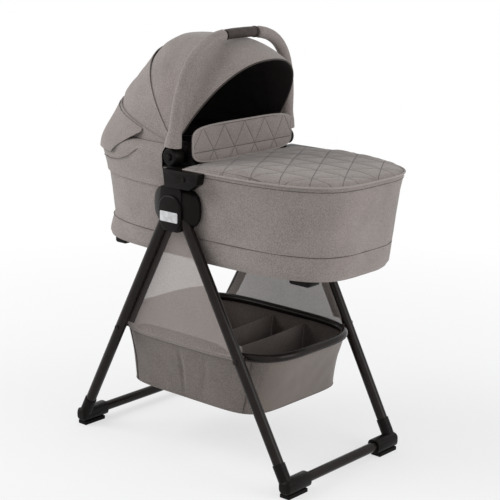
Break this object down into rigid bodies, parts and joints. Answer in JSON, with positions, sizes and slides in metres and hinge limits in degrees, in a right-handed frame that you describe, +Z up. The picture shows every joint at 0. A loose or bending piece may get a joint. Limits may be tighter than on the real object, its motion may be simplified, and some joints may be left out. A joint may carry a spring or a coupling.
{
  "type": "bassinet with stand",
  "caption": "Carrycot-style bassinet with a folding fan canopy, wind flap and swing handle, on an A-frame stand with a cloth basket.",
  "frame": {"origin": "centre of the bounding box at floor level", "axes": "+Z up, +X towards the foot end of the tub, Y across; the near side in the picture is -Y"},
  "size_m": [0.8311, 0.481, 1.062],
  "materials": {
    "frame_tube": "satin powder coat",
    "black_plastic": "fine texture",
    "silver_trim": "satin",
    "pad_rubber": "matt",
    "melange_cloth": "woven melange",
    "mesh_cloth": "open mesh",
    "basket_cloth": "woven melange",
    "basket_lining": "plain weave",
    "grip_cover": "leatherette, ribbed",
    "mattress_cover": "knitted"
  },
  "bodies": {
    "stand": {"hub_housing_near": "black_plastic", "hub_cap_near": "black_plastic", "hub_badge_near": "silver_trim", "side_mesh_near": "mesh_cloth", "hub_housing_far": "black_plastic", "hub_cap_far": "black_plastic", "hub_badge_far": "silver_trim", "side_mesh_far": "mesh_cloth", "floor_bar_foot": "frame_tube", "leg_foot_near": "frame_tube", "corner_fitting_foot_near": "black_plastic", "foot_pad_foot_near": "pad_rubber", "rivet_foot_near": "frame_tube", "leg_foot_far": "frame_tube", "corner_fitting_foot_far": "black_plastic", "foot_pad_foot_far": "pad_rubber", "rivet_foot_far": "frame_tube", "floor_bar_head": "frame_tube", "leg_head_near": "frame_tube", "corner_fitting_head_near": "black_plastic", "foot_pad_head_near": "pad_rubber", "rivet_head_near": "frame_tube", "leg_head_far": "frame_tube", "corner_fitting_head_far": "black_plastic", "foot_pad_head_far": "pad_rubber", "rivet_head_far": "frame_tube", "basket_rail": "frame_tube", "basket_bag": "basket_cloth", "basket_base_board": "basket_lining", "basket_divider_front": "basket_lining", "basket_divider_rear": "basket_lining"},
    "bassinet": {"tub_shell": "melange_cloth", "mattress": "mattress_cover", "foot_cover": "melange_cloth", "canopy_skirt": "melange_cloth", "canopy_rear": "melange_cloth", "tub_foot_head_near": "black_plastic", "tub_foot_head_far": "black_plastic", "tub_foot_foot_near": "black_plastic", "tub_foot_foot_far": "black_plastic", "adapter_near": "black_plastic", "side_bracket_near": "black_plastic", "adapter_far": "black_plastic", "side_bracket_far": "black_plastic"},
    "canopy_front_fan": {"canopy_front": "melange_cloth"},
    "canopy_second_fan": {"canopy_second": "melange_cloth"},
    "canopy_third_fan": {"canopy_third": "melange_cloth"},
    "handle": {"handle_tube": "frame_tube", "handle_grip": "grip_cover", "handle_sleeve_near": "melange_cloth", "handle_hub_near": "black_plastic", "handle_sleeve_far": "melange_cloth", "handle_hub_far": "black_plastic"},
    "handle_button_near_body": {"handle_button_near": "black_plastic"},
    "release_button_near_body": {"release_button_near": "black_plastic"},
    "handle_button_far_body": {"handle_button_far": "black_plastic"},
    "release_button_far_body": {"release_button_far": "black_plastic"},
    "wind_flap_body": {"wind_flap": "melange_cloth"}
  },
  "joints": [
    {"name": "bassinet_lift", "type": "slide", "parent": "stand", "child": "bassinet", "axis": [0, 0, 1], "range_m": [0, 0.12]},
    {"name": "handle_fold", "type": "hinge", "parent": "bassinet", "child": "handle", "pos_m": [-0.0346, 0, 0.767], "axis": [0, 1, 0], "range_deg": [0, 68]},
    {"name": "canopy_front_fold", "type": "hinge", "parent": "bassinet", "child": "canopy_front_fan", "pos_m": [-0.0546, 0, 0.79], "axis": [0, -1, 0], "range_deg": [0, 90]},
    {"name": "canopy_second_fold", "type": "hinge", "parent": "bassinet", "child": "canopy_second_fan", "pos_m": [-0.0546, 0, 0.79], "axis": [0, -1, 0], "range_deg": [0, 49.5]},
    {"name": "canopy_third_fold", "type": "hinge", "parent": "bassinet", "child": "canopy_third_fan", "pos_m": [-0.0546, 0, 0.79], "axis": [0, -1, 0], "range_deg": [0, 13.5]},
    {"name": "wind_flap_fold", "type": "hinge", "parent": "bassinet", "child": "wind_flap_body", "pos_m": [0.0062, 0, 0.7528], "axis": [0, 1, 0], "range_deg": [0, 68]},
    {"name": "handle_button_near_press", "type": "slide", "parent": "handle", "child": "handle_button_near_body", "axis": [0, 1, 0], "range_m": [0, 0.003], "stiffness_N_per_m": 600, "springref_m": -0.001},
    {"name": "release_button_near_press", "type": "slide", "parent": "bassinet", "child": "release_button_near_body", "axis": [0, 1, 0], "range_m": [0, 0.0023], "stiffness_N_per_m": 600, "springref_m": -0.001},
    {"name": "handle_button_far_press", "type": "slide", "parent": "handle", "child": "handle_button_far_body", "axis": [0, -1, 0], "range_m": [0, 0.003], "stiffness_N_per_m": 600, "springref_m": -0.001},
    {"name": "release_button_far_press", "type": "slide", "parent": "bassinet", "child": "release_button_far_body", "axis": [0, -1, 0], "range_m": [0, 0.0023], "stiffness_N_per_m": 600, "springref_m": -0.001}
  ],
  "couplings": [
    {"joint": "canopy_second_fold", "follows": "canopy_front_fold", "ratio": 0.55},
    {"joint": "canopy_third_fold", "follows": "canopy_front_fold", "ratio": 0.15}
  ]
}
